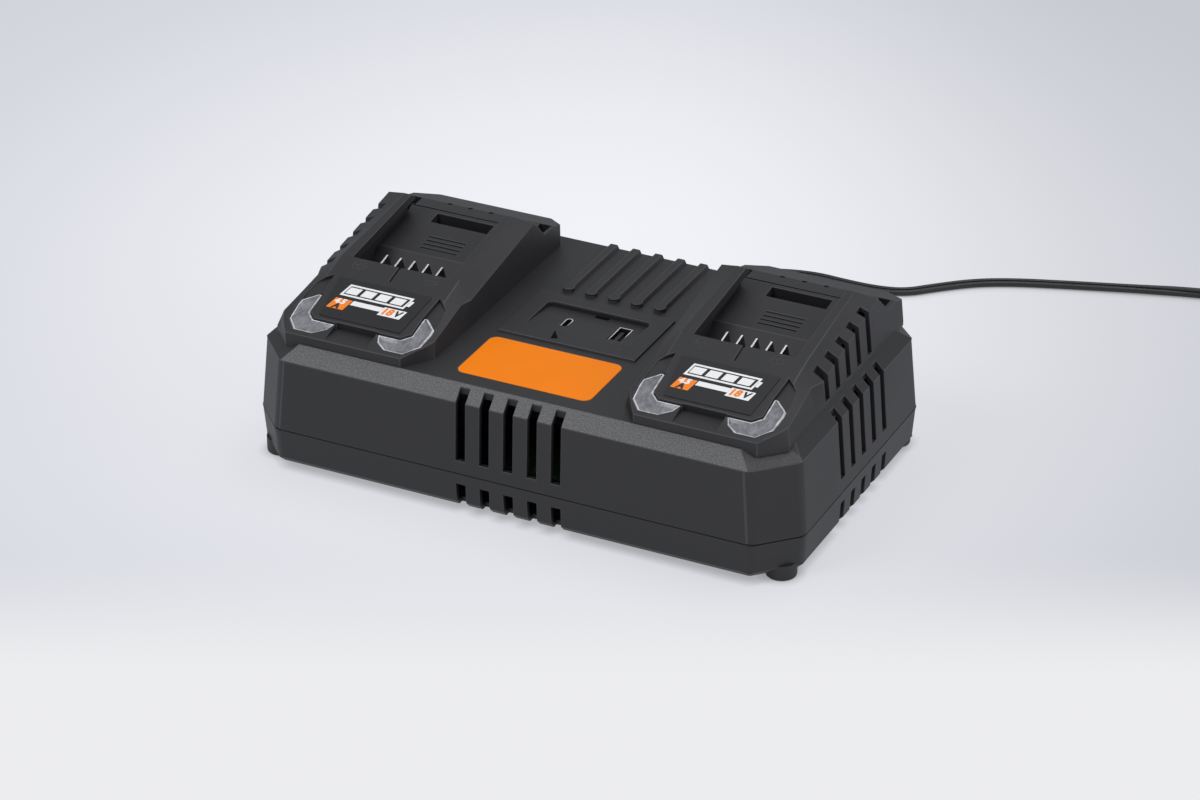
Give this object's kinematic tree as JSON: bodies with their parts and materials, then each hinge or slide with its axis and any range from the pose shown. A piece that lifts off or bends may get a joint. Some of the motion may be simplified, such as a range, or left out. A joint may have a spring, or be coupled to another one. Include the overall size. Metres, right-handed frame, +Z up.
{
  "type": "power tool battery charger",
  "caption": "Dark plastic mains charger with two sloping slide-on battery docks, vent slots, an orange badge, USB sockets between the docks and a coiled mains cord.",
  "frame": {"origin": "centre of the housing's footprint on the surface its feet stand on", "axes": "+Z up, the front with the vent slots faces -Y, +X to the right seen from the front"},
  "size_m": [0.4678, 0.3578, 0.0876],
  "materials": {
    "housing": "fine moulded grain",
    "label_black": "printed polyester",
    "badge_orange": "printed polyester",
    "light_guide": "milky polycarbonate",
    "nickel": "nickel plated",
    "steel": "zinc plated",
    "socket_steel": "bright stamped",
    "black_plastic": "moulded",
    "gold": "gold flashed",
    "board_green": "solder mask",
    "led": "clear",
    "ferrite": "sintered",
    "winding": "yellow tape over copper",
    "choke": "enamelled copper over ferrite",
    "capacitor": "shrink sleeve over aluminium",
    "aluminium": "extruded",
    "rubber": "moulded",
    "cord": "smooth flexible PVC",
    "lead": "smooth insulation"
  },
  "bodies": {
    "charger": {"upper_housing": "housing", "lower_housing": "housing", "rubber_feet": "rubber", "housing_screws": "steel", "center_badge": "badge_orange", "usb_a_shell": "socket_steel", "usb_a_tongue": "black_plastic", "usb_a_contacts": "gold", "usb_c_shell": "socket_steel", "usb_c_tongue": "black_plastic", "usb_board": "board_green", "main_board": "board_green", "board_screws": "steel", "transformer_core": "ferrite", "transformer_winding": "winding", "bulk_capacitors": "capacitor", "output_capacitors": "capacitor", "primary_heat_sink": "aluminium", "output_heat_sink": "aluminium", "power_transistors": "black_plastic", "common_mode_choke": "choke", "mains_fuse": "black_plastic", "bridge_rectifier": "black_plastic", "fan_frame": "black_plastic", "mains_lead": "cord", "dock_leads": "lead", "board_leads": "lead", "strain_relief": "black_plastic", "mains_cord": "cord", "mains_cord_coil": "cord", "mains_cord_tail": "cord", "plug_body": "black_plastic", "plug_pins": "nickel", "left_dock_label": "label_black", "left_terminal_block": "black_plastic", "left_terminal_blades": "nickel", "left_dock_board": "board_green", "left_status_leds": "led", "left_outer_light_guide": "light_guide", "left_inner_light_guide": "light_guide", "right_dock_label": "label_black", "right_terminal_block": "black_plastic", "right_terminal_blades": "nickel", "right_dock_board": "board_green", "right_status_leds": "led", "right_outer_light_guide": "light_guide", "right_inner_light_guide": "light_guide"},
    "fan_rotor": {"fan_rotor": "black_plastic"}
  },
  "joints": [
    {"name": "fan_spin", "type": "hinge", "parent": "charger", "child": "fan_rotor", "pos_m": [0.112, 0.0029, 0.026], "axis": [1, 0, 0], "continuous": true}
  ]
}
